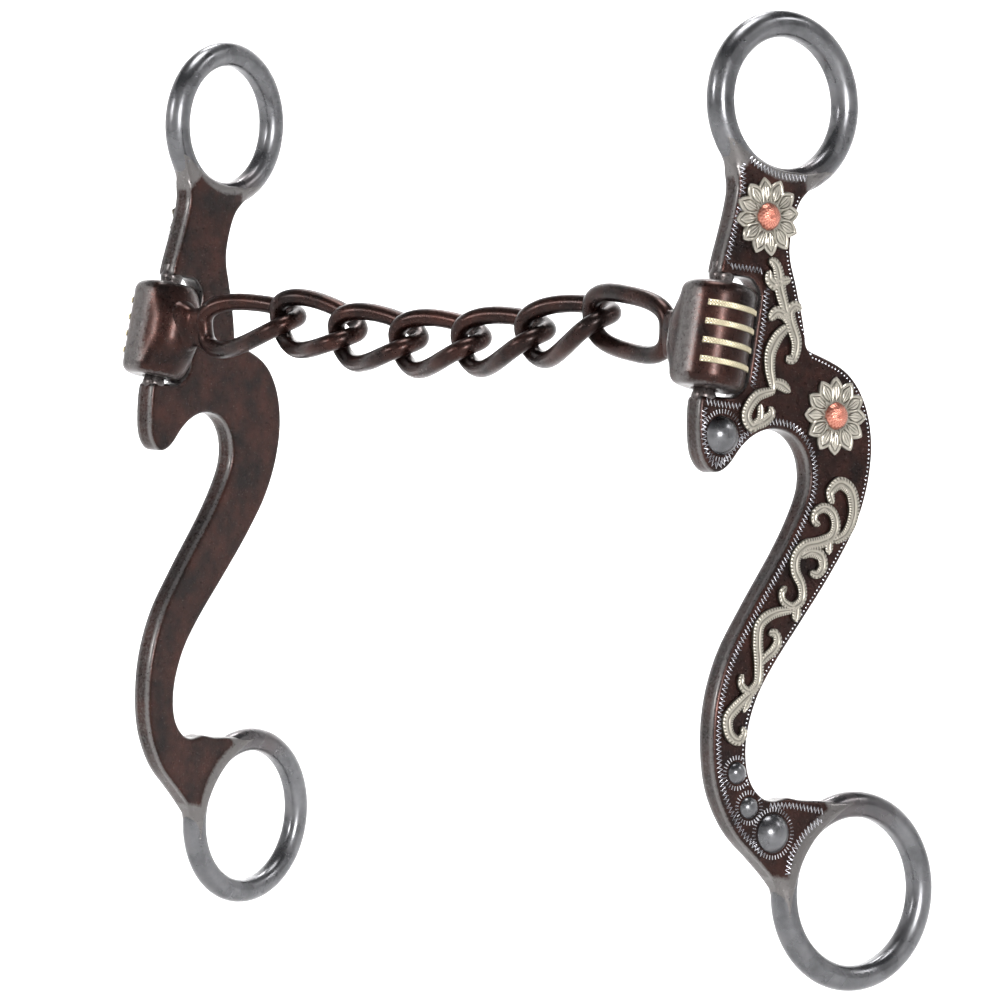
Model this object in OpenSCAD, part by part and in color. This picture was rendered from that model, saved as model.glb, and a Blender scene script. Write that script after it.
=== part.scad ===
// Loose-jaw curb bit with a chain mouth. Two mirror-image steel cheeks each carry a headstall ring
// above and a rein ring below. A barrel swivels on each cheek's front post, and five twisted links
// join the two barrels. Silver and copper trim is riveted to the outer faces.
// +X is the horse's left, +Y runs back along the reins, +Z is up.
// The origin is the middle of the mouth, midway between the two barrels.

/* [Pose] */
// Distance between the centres of the two barrels
mouth_w = 140; // [132:1:150]
// Angle that each cheek opens towards its back edge
splay = 8; // [0:1:15]
// Angle that each cheek leans out towards its foot
lean = 2.5; // [0:0.5:5]
// Change of slope from one link to the next where the chain hangs
sag_step = 5; // [4:0.2:5.6]

/* [Cheeks] */
// Thickness of the cheek plate
plate_t = 4; // [4:0.2:4.4]
// Lean of the front post, its top towards the back
post_tilt = 14; // [13:0.5:15]
// Diameter of the round front post
post_d = 3.6; // [3:0.1:3.8]
// Distance from the post's axis to the back of the barrel window
window_back = 7; // [6.8:0.1:7.4]
// Height of the barrel window's top over the mouth, at the post
window_top = 9.7; // [9.6:0.1:10.2]
// Depth of the barrel window's foot under the mouth, at the post
window_foot = 9.4; // [9.4:0.1:10.2]

/* [Rings] */
// Radius of the headstall ring, to the middle of its bar
headstall_ring_r = 12.8; // [12.6:0.1:13]
// Diameter of the headstall ring's bar
headstall_bar_d = 4.6; // [4.6:0.1:4.8]
// Radius of the rein ring, to the middle of its bar
rein_ring_r = 14.2; // [14:0.1:14.4]
// Diameter of the rein ring's bar
rein_bar_d = 4.4; // [4.4:0.1:4.8]
// Width of the flat band that straps have worn inside each ring
land_w = 1.6; // [1:0.1:2]

/* [Barrels] */
// Outer diameter of a barrel
barrel_d = 12.4; // [11.6:0.1:12.8]
// Length of a barrel along its post
barrel_l = 17.2; // [16:0.2:17.6]
// Radius of the rounding at a barrel's ends
barrel_round = 1.6; // [0.8:0.1:2]
// Clearance all round between a post and its barrel's bore
post_gap = 0.3; // [0.2:0.05:0.4]
// Width of a silver band on a barrel
band_w = 1; // [0.8:0.1:1.4]
// Spacing of the silver bands
band_step = 3.05; // [2.6:0.05:3.4]

/* [Chain] */
// Diameter of the chain's wire
wire_d = 3.1; // [2.8:0.1:3.2]
// Half the width of a link, to the middle of its wire
link_half_w = 4.7; // [4.6:0.1:4.8]
// Distance from a post's axis to where its end loop meets the first link
loop_arm = 30.4; // [29:0.2:32]
// Gap between two linked wires
link_gap = 0.5; // [0.4:0.05:0.6]
// Turn of the twisted links about the chain's own line
link_turn = 15; // [12:1:17]
// Rise of the left end loop towards its free end
left_rise = 10; // [8:1:11]
// Rise of the right end loop towards its free end
right_rise = 6; // [4:1:8]

/* [Trim] */
// Thickness of the silver scrolls and petals
trim_t = 0.8; // [0.6:0.1:1]
// Reach of a flower's petals
petal_r = 6.4; // [6:0.1:6.6]
// Number of petals on a flower
petal_count = 12; // [8:1:14]
// Radius of the large studs
big_stud_r = 3.2; // [2.8:0.1:3.3]
// Radius of the small studs
small_stud_r = 1.8; // [1.4:0.1:1.9]

/* [Hidden] */

$fn = 64;
browned = "#3a2420";
steel = "#8a8c90";
silver = "#b5b3a2";
gold_silver = "#d2c8a0";
copper = "#c9765c";

// A cheek is drawn for the left side, as [back, up] points about the middle of its barrel.
// Distance of the post's axis behind that point
post_back = 0.6;
headstall_at = [17.3, 37.3];
rein_at = [23.9, -91.9];
upper_flower_at = [11.3, 18.9];
lower_flower_at = [23.3, -13.9];
spur_stud_at = [0.1, -15.9];
shank_stud_1_at = [-0.2, -70.2];
shank_stud_2_at = [1.9, -76];
shank_stud_3_at = [6.5, -80.6];

// Front edge, from the neck down past the spur, the notch and the shank to the rein ring
front_edge = [
    [6.4, 28], [5.9, 23.5], [4.2, 18], [1.4, 10.5], [-1.3, 0], [-3.8, -9.7], [-4.4, -15.5],
    [-3.9, -19.4], [-1.7, -21.8], [1.2, -21], [4.2, -18], [7.2, -16.1], [10.9, -15.4],
    [14.7, -16.6], [17.2, -20], [17.5, -24.5], [15.6, -29], [11.6, -35], [4.7, -43.7],
    [-0.7, -51.2], [-3.8, -58.8], [-4.8, -66.3], [-4.1, -73.3], [-1.1, -79.8], [4.2, -85.2],
    [9, -90.5]
];
// Back edge, from the rein ring up over the bump and round the bulge to the shoulder
back_edge = [
    [20.5, -77.6], [16.2, -76.4], [12.8, -75.8], [10.1, -75.1], [7.6, -75.5], [5, -74.7],
    [2.8, -72], [2.1, -68.3], [2.7, -63.8], [5, -58.4], [9, -53.1], [14.9, -46.7],
    [21.3, -39.6], [26.9, -32.2], [30.1, -25], [31.2, -17.8], [29.8, -11.2], [26, -6.4], [18.4, -2.8]
];
// Back of the neck, from the shoulder up to the headstall ring
neck_back = [[18.4, -2.8], [18.1, 1.5], [17, 7.5], [16, 12.7], [17, 17.6], [18.9, 22], [22.6, 25.8]];

// Scrolls, each one a centre line and the width of its ribbon
upper_strokes = [
    [[[11, 11.9], [12.3, 11.1], [12.8, 9.6], [13, 7], [13.9, 3.6], [14.4, 1.4]], 1.3],
    [[[11, 10.3], [10.9, 8.8], [12, 7.9], [13.5, 8.4], [15.2, 8.6]], 1.2],
    [[[10.4, 2.2], [11.9, 3.4], [13.6, 2.9], [14.6, 1.2]], 1.1],
    [[[17.2, 3.7], [15.8, 4.3], [14.7, 3.3], [14.9, 1.4], [15.8, -1.6], [15, -4.2], [13.4, -4]], 1.3],
    [[[14.4, 1.2], [12, -0.6], [10.4, -3], [10.1, -5.8], [10.5, -8.4], [10, -9.3]], 1.3],
    [[[10.5, -7.9], [12.4, -8.4], [14, -9.6]], 1.1],
    [[[11, -9.2], [7.5, -9.8], [5.5, -11.6], [4.9, -13.4], [6, -14.8], [7.6, -13.6], [7.8, -11.2]], 1.2],
    [[[6, -14.8], [8.4, -14], [10, -12.9], [9.6, -11.7]], 1.1]
];
lower_strokes = [
    [[[22, -28.2], [21.6, -26.2], [23.8, -24.9], [26.2, -26.4], [26.9, -29.8], [25.4, -33.2],
      [21.8, -34.4]], 1.7],
    [[[18.9, -31.4], [17.8, -30.7], [18.2, -29.3], [19.9, -28.7], [21.6, -29.6], [22.2, -31.6],
      [21.2, -33.5], [18.6, -34.3], [15.6, -34.7], [13.7, -36.3], [13.4, -38.6], [14.5, -41],
      [14.4, -43.2], [12.5, -44.3], [10.6, -43.3], [10.4, -41.8], [11.4, -41]], 1.5],
    [[[14.6, -36.4], [16.6, -35.7], [18.7, -36.4], [19.1, -38.2], [17.8, -39.4], [16.3, -38.9]], 1.4],
    [[[20.6, -33.6], [20.4, -36.4]], 1.3],
    [[[13.4, -44], [12.9, -46.8]], 1.5],
    [[[12.6, -44.8], [8.4, -45.1], [5.7, -46.6], [5, -49.4], [5.4, -53], [5, -56.2], [2.8, -57.2],
      [1.2, -56], [1.6, -54.4]], 1.5],
    [[[7.4, -48.2], [9, -48.4], [9.6, -49.8], [8.6, -51.2], [6.8, -52], [5.2, -53.2]], 1.3],
    [[[4.8, -56.9], [0.9, -59], [-1.6, -61.2], [-1.5, -63.8], [0.3, -65], [1.8, -64], [1.4, -62.8]], 1.6],
    [[[4, -57.6], [2.8, -60.8]], 1.2]
];

stroke_steps = 5;
edge_steps = 4;
wire_sides = 10;
bow_steps = 12;
strand_steps = 10;
petal_steps = 8;
petal_dip = 0.66;
band_arc = 100;
band_count = 4;
band_h = 0.35;
weld_reach = 10.9;
loop_up = 1;
collar_t = 3.2;
collar_waist = 0.9;
stud_rise = 0.62;
centre_r = 2.4;
centre_rise = 0.5;

linked = wire_d + link_gap;
loop_reach = loop_arm + linked / 2;

// Turns a point of the left side's own frame into the bit's frame
function placed(p) =
    let (x = p[0] * cos(lean) - p[2] * sin(lean), z = p[0] * sin(lean) + p[2] * cos(lean))
    [mouth_w / 2 + x * cos(splay) + p[1] * sin(splay), p[1] * cos(splay) - x * sin(splay), z];

// Point of an end loop's middle line, at a distance from the post
function along_loop(d, rise) = [
    -weld_reach - (d - weld_reach) * cos(rise), 0, loop_up + (d - weld_reach) * sin(rise)
];

// Pivots at the two ends of the chain: inside the right end loop's bow and the left one's
right_end = placed(along_loop(loop_reach, right_rise));
left_end = placed(along_loop(loop_reach - linked, left_rise));
chain_from = [-right_end[0], right_end[2]];
chain_span = [left_end[0], left_end[2]] - chain_from;
chain_back = (right_end[1] + left_end[1]) / 2;
chain_slope = atan2(chain_span[1], chain_span[0]);
link_pitch = norm(chain_span) / (1 + 2 * cos(sag_step) + 2 * cos(2 * sag_step));

// Slope of link i, counted from the left, and the pivot at its right-hand end
function slope(i) = chain_slope + (3 - i) * sag_step;
function pivot(i) =
    i == 5 ? chain_from
    : pivot(i + 1) + link_pitch * [cos(slope(i + 1)), sin(slope(i + 1))];

// Catmull-Rom curve through a list of points
function curve(p, steps) =
    let (last = len(p) - 1)
    concat(
        [for (i = [0:last - 1], s = [0:steps - 1])
            let (
                a = p[max(i - 1, 0)], b = p[i], c = p[i + 1], d = p[min(i + 2, last)],
                t = s / steps
            )
            (2 * b + (c - a) * t + (2 * a - 5 * b + 4 * c - d) * t * t
                + (3 * b - a - 3 * c + d) * t * t * t) / 2],
        [p[last]]
    );

// Outline of a ribbon of width w along a centre line, narrower at both ends
function ribbon(line, w) =
    let (
        last = len(line) - 1,
        across = [for (i = [0:last])
            let (d = line[min(i + 1, last)] - line[max(i - 1, 0)])
            [-d[1], d[0]] / norm(d) * w * (0.3 + 0.2 * sin(180 * i / last))]
    )
    concat([for (i = [0:last]) line[i] + across[i]], [for (i = [last:-1:0]) line[i] - across[i]]);

// Outline of a flower with pointed petals: r at the tips, down to the fraction "dip" of r between them
function petals(r, dip) = [
    for (i = [0:petal_count * petal_steps - 1])
        let (off = abs(2 * (i % petal_steps) / petal_steps - 1), a = 360 * i / petal_count / petal_steps)
        r * (1 - (1 - dip) * pow(1 - off, 0.85)) * [cos(a), sin(a)]
];

// Centre line of an oval link from x = a to x = b: its bows are half circles of radius h.
// Each point is [x, offset from the axis].
function oval(a, b, h) = concat(
    [for (i = [0:bow_steps - 1]) let (t = 90 + 180 * i / bow_steps) [a + h + h * cos(t), h * sin(t)]],
    [for (i = [0:strand_steps - 1]) [a + h + (b - a - 2 * h) * i / strand_steps, -h]],
    [for (i = [0:bow_steps - 1]) let (t = 180 * i / bow_steps - 90) [b - h + h * cos(t), h * sin(t)]],
    [for (i = [0:strand_steps - 1]) [b - h - (b - a - 2 * h) * i / strand_steps, h]]
);

// Angle of a link's plane at x, turning evenly from "from" at a to "to" at b
function twist(x, a, b, from, to) = from + (to - from) * (x - a) / (b - a);

// Wire along a closed line of points, as one closed surface
module wire_loop(line, planes) {
    n = len(line);
    rings = [for (i = [0:n - 1])
        let (
            d = line[(i + 1) % n] - line[(i + n - 1) % n],
            along = d / norm(d),
            side = planes[i] - (planes[i] * along) * along,
            u = side / norm(side),
            v = cross(along, u)
        )
        for (k = [0:wire_sides - 1])
            line[i] + wire_d / 2 * (cos(360 * k / wire_sides) * u + sin(360 * k / wire_sides) * v)];
    faces = [for (i = [0:n - 1], k = [0:wire_sides - 1], half = [0, 1])
        let (j = (i + 1) % n, m = (k + 1) % wire_sides)
        half == 0
            ? [i * wire_sides + k, i * wire_sides + m, j * wire_sides + m]
            : [i * wire_sides + k, j * wire_sides + m, j * wire_sides + k]];
    polyhedron(rings, faces);
}

// Link from x = a to x = b whose plane stands at angle "from" at a and "to" at b.
// 90 degrees is upright, 0 is level.
module link(a, b, from, to) {
    flat = oval(a, b, link_half_w);
    angles = [for (p = flat) twist(p[0], a, b, from, to)];
    line = [for (i = [0:len(flat) - 1]) [flat[i][0], flat[i][1] * cos(angles[i]), flat[i][1] * sin(angles[i])]];
    planes = [for (t = angles) [0, -sin(t), cos(t)]];
    wire_loop(line, planes);
}

// Moves a left-side shape to its place, and mirrors it for the right
module on_side(left) {
    mirror([left ? 0 : 1, 0, 0])
        translate([mouth_w / 2, 0, 0])
            rotate([0, 0, -splay])
                rotate([0, -lean, 0])
                    children();
}

// Raises a [back, up] outline into a sheet of thickness t whose inner face is at x
module sheet(x, t) {
    translate([x, 0, 0])
        rotate([90, 0, 90])
            linear_extrude(t)
                children();
}

module along_post() {
    translate([0, post_back, 0])
        rotate([-post_tilt, 0, 0])
            children();
}

module ring_bar(at, r, d) {
    translate([0, at[0], at[1]])
        rotate([90, 0, 90])
            rotate_extrude()
                translate([r, 0])
                    circle(d = d);
}

module ring_hole(at, r, w) {
    translate([0, at[0], at[1]])
        rotate([0, 90, 0])
            cylinder(r = r, h = w, center = true);
}

module ring(at, r, d) {
    worn = d / 2 - sqrt(d * d - land_w * land_w) / 2;
    difference() {
        ring_bar(at, r, d);
        ring_hole(at, r - d / 2 + worn, 2 * d);
    }
}

// Spherical cap of radius r and height h, standing on the plate's outer face at height x
module dome(at, x, r, h) {
    ball = (r * r + h * h) / (2 * h);
    translate([x, at[0], at[1]])
        rotate([0, 90, 0])
            intersection() {
                translate([0, 0, h - ball])
                    sphere(r = ball);
                cylinder(r = 2 * r, h = 2 * h);
            }
}

// Window for the barrel. Its back edge follows the post and its top and foot lean half as much.
module window() {
    shift = tan(post_tilt);
    drop = tan(post_tilt / 2);
    wide = window_back / cos(post_tilt) / (1 + shift * drop);
    top = post_back + shift * window_top;
    foot = post_back - shift * window_foot;
    front = -3 * post_d;
    sheet(-plate_t, 2 * plate_t)
        polygon([
            [front, window_top + drop * (top - front)], [top + wide, window_top - drop * wide],
            [foot + wide, -window_foot - drop * wide], [front, -window_foot + drop * (foot - front)]
        ]);
}

module cheek() {
    color(browned) {
        difference() {
            sheet(-plate_t / 2, plate_t)
                polygon(concat(
                    curve(front_edge, edge_steps), curve(back_edge, edge_steps), curve(neck_back, edge_steps)
                ));
            window();
            ring_bar(headstall_at, headstall_ring_r, headstall_bar_d);
            ring_hole(headstall_at, headstall_ring_r, 2 * plate_t);
            ring_bar(rein_at, rein_ring_r, rein_bar_d);
            ring_hole(rein_at, rein_ring_r, 2 * plate_t);
        }
        along_post()
            translate([0, 0, -window_foot - post_d / 2])
                cylinder(d = post_d, h = window_foot + window_top + 1.3 * post_d);
    }
}

module headstall_ring() {
    color(steel)
        ring(headstall_at, headstall_ring_r, headstall_bar_d);
}

module rein_ring() {
    color(steel)
        ring(rein_at, rein_ring_r, rein_bar_d);
}

// Neck between a barrel and the end loop that is welded to it
module collar() {
    half_h = link_half_w;
    inner = -barrel_d / 4;
    bite = 2 * link_half_w;
    translate([0, collar_t / 2, loop_up])
        rotate([90, 0, 0])
            linear_extrude(collar_t)
                difference() {
                    translate([-weld_reach, -half_h])
                        square([weld_reach + inner, 2 * half_h]);
                    for (up = [-1, 1])
                        translate([-(weld_reach + barrel_d / 2) / 2, up * (half_h + bite - collar_waist)])
                            circle(r = bite);
                }
}

module barrel() {
    r = barrel_d / 2;
    core = r - barrel_round;
    color(browned)
        difference() {
            union() {
                along_post()
                    rotate_extrude() {
                        translate([0, -barrel_l / 2])
                            square([core, barrel_l]);
                        translate([0, barrel_round - barrel_l / 2])
                            square([r, barrel_l - 2 * barrel_round]);
                        for (up = [-1, 1])
                            translate([core, up * (barrel_l / 2 - barrel_round)])
                                circle(r = barrel_round);
                    }
                collar();
            }
            along_post()
                cylinder(d = post_d + 2 * post_gap, h = 2 * barrel_l, center = true);
        }
}

module barrel_bands() {
    r = barrel_d / 2;
    color(gold_silver)
        along_post()
            for (i = [0:band_count - 1])
                translate([0, 0, (i - (band_count - 1) / 2) * band_step - band_w / 2])
                    rotate([0, 0, -band_arc / 2])
                        rotate_extrude(angle = band_arc)
                            translate([r, 0])
                                square([band_h, band_w]);
}

// Upright where it is welded, turned to the angle "free" at its other end
module end_loop(free, rise) {
    color(browned)
        translate([-weld_reach, 0, loop_up])
            rotate([0, rise, 0])
                translate([weld_reach, 0, 0])
                    link(-loop_reach, -weld_reach, free, 90);
}

module chain_link(i) {
    at = pivot(i);
    color(browned)
        translate([at[0], chain_back, at[1]])
            rotate([0, -slope(i), 0])
                link(-linked, link_pitch, 90 + link_turn, link_turn);
}

module flower(at) {
    color(silver)
        sheet(plate_t / 2, trim_t)
            translate(at)
                polygon(petals(petal_r, petal_dip));
}

module flower_centres() {
    color(copper)
        for (at = [upper_flower_at, lower_flower_at])
            dome(at, plate_t / 2 + trim_t, centre_r, centre_r * centre_rise);
}

module scroll(strokes) {
    color(silver)
        sheet(plate_t / 2, trim_t)
            for (s = strokes)
                polygon(ribbon(curve(s[0], stroke_steps), s[1]));
}

module spur_stud() {
    color(steel)
        dome(spur_stud_at, plate_t / 2, big_stud_r, big_stud_r * stud_rise);
}

module shank_studs() {
    color(steel) {
        dome(shank_stud_1_at, plate_t / 2, small_stud_r, small_stud_r * stud_rise);
        dome(shank_stud_2_at, plate_t / 2, small_stud_r, small_stud_r * stud_rise);
        dome(shank_stud_3_at, plate_t / 2, big_stud_r, big_stud_r * stud_rise);
    }
}

on_side(true) cheek();  // cheek_left
on_side(false) cheek();  // cheek_right
on_side(true) headstall_ring();  // headstall_ring_left
on_side(false) headstall_ring();  // headstall_ring_right
on_side(true) rein_ring();  // rein_ring_left
on_side(false) rein_ring();  // rein_ring_right
on_side(true) barrel();  // barrel_left
on_side(false) barrel();  // barrel_right
on_side(true) barrel_bands();  // barrel_bands_left
on_side(false) barrel_bands();  // barrel_bands_right
on_side(true) end_loop(90 + link_turn / 2, left_rise);  // end_loop_left
on_side(false) end_loop(link_turn, right_rise);  // end_loop_right
chain_link(1);  // chain_link_1
chain_link(2);  // chain_link_2
chain_link(3);  // chain_link_3
chain_link(4);  // chain_link_4
chain_link(5);  // chain_link_5
on_side(true) flower(upper_flower_at);  // upper_flower_left
on_side(false) flower(upper_flower_at);  // upper_flower_right
on_side(true) flower(lower_flower_at);  // lower_flower_left
on_side(false) flower(lower_flower_at);  // lower_flower_right
on_side(true) flower_centres();  // flower_centres_left
on_side(false) flower_centres();  // flower_centres_right
on_side(true) scroll(upper_strokes);  // upper_scroll_left
on_side(false) scroll(upper_strokes);  // upper_scroll_right
on_side(true) scroll(lower_strokes);  // lower_scroll_left
on_side(false) scroll(lower_strokes);  // lower_scroll_right
on_side(true) spur_stud();  // spur_stud_left
on_side(false) spur_stud();  // spur_stud_right
on_side(true) shank_studs();  // shank_studs_left
on_side(false) shank_studs();  // shank_studs_right
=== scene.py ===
"""Loose-jaw curb bit: browned steel cheeks with steel rings, silver and copper trim and a chain mouth."""

import math

import bpy
import numpy as np
from mathutils import Matrix, Vector
from mathutils.geometry import delaunay_2d_cdt


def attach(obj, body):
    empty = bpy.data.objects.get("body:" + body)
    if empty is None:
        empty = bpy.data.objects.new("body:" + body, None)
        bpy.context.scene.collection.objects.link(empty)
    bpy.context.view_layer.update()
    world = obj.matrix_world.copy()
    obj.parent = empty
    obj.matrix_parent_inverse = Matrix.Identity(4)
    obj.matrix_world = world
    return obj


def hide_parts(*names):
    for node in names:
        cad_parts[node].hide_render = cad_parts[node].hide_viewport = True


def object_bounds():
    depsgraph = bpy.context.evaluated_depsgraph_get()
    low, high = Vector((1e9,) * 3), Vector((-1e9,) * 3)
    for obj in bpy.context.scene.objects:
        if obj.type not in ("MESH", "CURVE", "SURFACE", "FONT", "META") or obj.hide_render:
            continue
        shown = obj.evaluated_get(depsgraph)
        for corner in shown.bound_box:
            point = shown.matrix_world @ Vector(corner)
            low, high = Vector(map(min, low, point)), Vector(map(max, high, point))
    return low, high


bl_info = {
    "name": "Curb Bit",
    "version": (1, 0, 0),
    "blender": (4, 5, 0),
    "location": "3D View > Sidebar > Curb Bit",
    "description": "Builds the detailed pieces and finishes of a loose-jaw curb bit",
    "category": "Add Mesh",
}

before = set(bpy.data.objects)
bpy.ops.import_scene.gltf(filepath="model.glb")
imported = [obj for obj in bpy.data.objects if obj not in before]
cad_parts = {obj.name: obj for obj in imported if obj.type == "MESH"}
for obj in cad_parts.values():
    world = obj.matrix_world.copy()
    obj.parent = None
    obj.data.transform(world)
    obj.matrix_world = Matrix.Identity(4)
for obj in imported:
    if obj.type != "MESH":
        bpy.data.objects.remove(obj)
CAD_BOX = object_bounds()

MM = 0.001
SIDES = ("left", "right")
TAU = 2 * math.pi

# Sizes that the CAD frame fixes, in millimetres and degrees
MOUTH_W, SPLAY, LEAN = 140.0, 8.0, 2.5
SAG_STEP = 5.0
POST_TILT, POST_BACK, POST_R = 14.0, 0.6, 1.8
WINDOW_BACK, WINDOW_TOP, WINDOW_FOOT, CORNER_CUT = 7.0, 9.7, 9.4, 2.2
# Half the plate's thickness, and how deep the trim's foot goes into its face
PLATE_HALF, SUNK = 2.0, 0.1
# A ring's middle, the radius of its bar's centre line and of the bar, how far from the middle the plate
# stays bare, and the direction in which the plate joins it
HEADSTALL = {"at": (17.3, 37.3), "r": 12.8, "bar": 2.3, "bare_inside": 12.0, "toward": -107}
REIN = {"at": (23.9, -91.9), "r": 14.2, "bar": 2.2, "bare_inside": 14.4, "toward": 139}
LAND_HALF = 0.8
# Edges that turn by more than this many degrees are shaded sharp
CREASE = 38
BARREL_R, BARREL_HALF, BORE_R = 6.2, 8.6, 2.1
BANDS, BAND_PITCH = 4, 3.05
LINKED, LOOP_ARM, LOOP_UP, LINK_HALF, WELD_REACH = 3.6, 30.4, 1.0, 4.7, 10.9
LINK_TURN, LINK_SQUARE = 15.0, 2.9
LOOPS = {"left": {"free": 97.5, "rise": 10.0}, "right": {"free": 15.0, "rise": 6.0}}
WIRE_R = 1.55
UPPER_FLOWER, LOWER_FLOWER = (11.3, 18.9), (23.3, -13.9)
PETALS, PETAL_REACH, CENTRE_R, TRIM_T = 12, 6.4, 2.4, 0.8
SPUR_STUD = ((0.1, -15.9), 3.2)
SHANK_STUDS = (((-0.2, -70.2), 1.8), ((1.9, -76.0), 1.8), ((6.5, -80.6), 3.2))

# Edges of a left cheek as [back, up] points, joined by smooth curves
FRONT_EDGE = [
    (3.5, 32.6), (4.4, 29.8), (5.6, 26.8), (5.9, 23.5), (4.2, 18), (1.4, 10.5), (-1.3, 0), (-3.8, -9.7),
    (-4.4, -15.5), (-3.9, -19.4), (-1.7, -21.8), (1.2, -21), (4.2, -18), (7.2, -16.1), (10.9, -15.4),
    (14.7, -16.6), (17.2, -20), (17.5, -24.5), (15.6, -29), (11.6, -35), (4.7, -43.7),
    (-0.7, -51.2), (-3.8, -58.8), (-4.8, -66.3), (-4.1, -73.3), (-1.1, -79.8), (3.6, -84.9),
    (6.8, -88.6), (8.2, -92.2), (9, -95.6),
]
BACK_EDGE = [
    (26, -76.9), (20.6, -76.7), (16.2, -76.2), (12.8, -75.8), (10.1, -75.1), (7.6, -75.5), (5, -74.7),
    (2.8, -72), (2.1, -68.3), (2.7, -63.8), (5, -58.4), (9, -53.1), (14.9, -46.7),
    (21.3, -39.6), (26.9, -32.2), (30.1, -25), (31.2, -17.8), (29.8, -11.2), (26, -6.4), (18.4, -2.8),
]
NECK_BACK = [
    (18.4, -2.8), (18.1, 1.5), (17, 7.5), (16, 12.7), (17, 17.6), (18.9, 21.4), (22.4, 23.7), (26.6, 25.6),
]
# Runs of those points that a border follows, clear of the rings and the window
SHANK_FRONT, SHANK_BACK, NECK_BORDER = slice(11, 27), slice(7, None), slice(1, 6)
FRONT_MARGIN, BACK_MARGIN = 1.2, 0.95

# Scroll ribbons: a centre line and the ribbon's width
UPPER_SCROLL = [
    ([(11, 12), (12.3, 11.1), (12.8, 9.6), (13, 7), (13.9, 3.6), (14.4, 1.4)], 2.0),
    ([(11, 10.3), (10.9, 8.8), (12, 7.9), (13.5, 8.4), (15.2, 8.6)], 1.8),
    ([(10.4, 2.2), (11.9, 3.4), (13.6, 2.9), (14.6, 1.2)], 1.8),
    ([(17.2, 3.7), (15.8, 4.3), (14.7, 3.3), (14.9, 1.4), (15.8, -1.6), (15, -4.2), (13.4, -4)], 2.0),
    ([(14.4, 1.2), (12, -0.6), (10.4, -3), (10.1, -5.8), (10.5, -8.4), (10, -9.3)], 2.0),
    ([(10.5, -7.9), (12.4, -8.4), (14, -9.6)], 1.7),
    ([(11, -9.2), (7.5, -9.8), (5.5, -11.6), (4.9, -13.4), (6, -14.8), (7.6, -13.6), (7.8, -11.2)], 1.8),
    ([(6, -14.8), (8.4, -14), (10, -12.9), (9.6, -11.7)], 1.7),
]
LOWER_SCROLL = [
    ([(21.8, -28.2), (21.4, -26.2), (23.5, -24.9), (25.7, -26.4), (26.1, -29.8), (24.4, -33),
      (21.5, -34.3)], 2.0),
    ([(18.9, -31.4), (17.8, -30.7), (18.2, -29.3), (19.9, -28.7), (21.6, -29.6), (22.2, -31.6),
      (21.2, -33.5), (18.6, -34.3), (15.6, -34.7), (13.7, -36.3), (13.4, -38.6), (14.5, -41),
      (14.4, -43.2), (12.5, -44.3), (10.6, -43.3), (10.4, -41.8), (11.4, -41)], 1.8),
    ([(14.6, -36.4), (16.6, -35.7), (18.7, -36.4), (19.1, -38.2), (17.8, -39.4), (16.3, -38.9)], 1.7),
    ([(20.6, -33.6), (20.4, -36.4)], 1.5),
    ([(13.4, -44), (12.9, -46.8)], 1.7),
    ([(12.6, -44.8), (8.4, -45.1), (5.7, -46.6), (5, -49.4), (5, -53), (4.5, -56), (2.6, -57.2),
      (1.2, -56), (1.6, -54.4)], 1.8),
    ([(7.2, -48.2), (8.6, -48.4), (9, -49.8), (8, -51.1), (6.5, -52), (5, -53.2)], 1.6),
    ([(4.3, -56.8), (0.8, -59), (-1.7, -61.2), (-1.6, -63.8), (0, -65), (1.3, -64), (0.9, -62.8)], 1.8),
    ([(3.1, -58), (1.3, -60.6)], 1.1),
]

# Bright-cut zigzag borders that don't simply follow an edge
ZIGZAGS = [
    [(6.9, 27.6), (6.7, 23.3), (5, 18), (2.7, 11.6)],
    [(3.4, 11.2), (9.8, 10.2)],
    [(10.6, 7.4), (9.9, 3), (8.9, -1), (7.9, -4.6), (6.7, -8.6)],
    [(-2.9, -10.3), (0.6, -10.9), (4, -11.4)],
    [(-3.1, -11.2), (-3.4, -15.6), (-2.9, -19), (-1.3, -20.6), (0.6, -20)],
    [(8.2, 28.3), (10.6, 26.8), (14.8, 25.4), (19.6, 24.9)],
    [(6.2, -76.2), (10, -76.4), (13, -77), (17, -78)],
    [(16.4, -79.3), (13.4, -80.9), (10.2, -84.2), (9, -87.6)],
]

# The bit is held up by its mouthpiece. The floor is this far below it, in metres, so that the cheeks
# clear it when the chain straightens and lets them down.
FLOOR_DROP = 0.025

CAMERA = {"azimuth": 47.09, "elevation": 3.86, "roll": -1.39, "distance": 821.0, "across": 14.1,
          "up": -28.5, "lens": 172.62}


# ---------------------------------------------------------------- shapes

def placed(points, side):
    """Points of a cheek's own frame (out, back, up; mm) in the bit's frame (m).
    They lean about Y, open about Z, move out by half the mouth, and are mirrored for the right."""
    lean, splay = math.radians(LEAN), math.radians(SPLAY)
    p = np.asarray(points, float)
    x = p[..., 0] * math.cos(lean) - p[..., 2] * math.sin(lean)
    z = p[..., 0] * math.sin(lean) + p[..., 2] * math.cos(lean)
    out = MOUTH_W / 2 + x * math.cos(splay) + p[..., 1] * math.sin(splay)
    back = p[..., 1] * math.cos(splay) - x * math.sin(splay)
    return np.stack([out if side == "left" else -out, back, z], -1) * MM


def on_post(points):
    """Points of a barrel's own frame (its axis is the third) in the cheek's frame."""
    tilt = math.radians(POST_TILT)
    p = np.asarray(points, float)
    back = p[..., 1] * math.cos(tilt) + p[..., 2] * math.sin(tilt) + POST_BACK
    up = p[..., 2] * math.cos(tilt) - p[..., 1] * math.sin(tilt)
    return np.stack([p[..., 0], back, up], -1)


def smooth(x, low, high):
    """0 below low, 1 above high, and an S-curve between."""
    t = np.clip((np.asarray(x, float) - low) / (high - low), 0, 1)
    return t * t * (3 - 2 * t)


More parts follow.
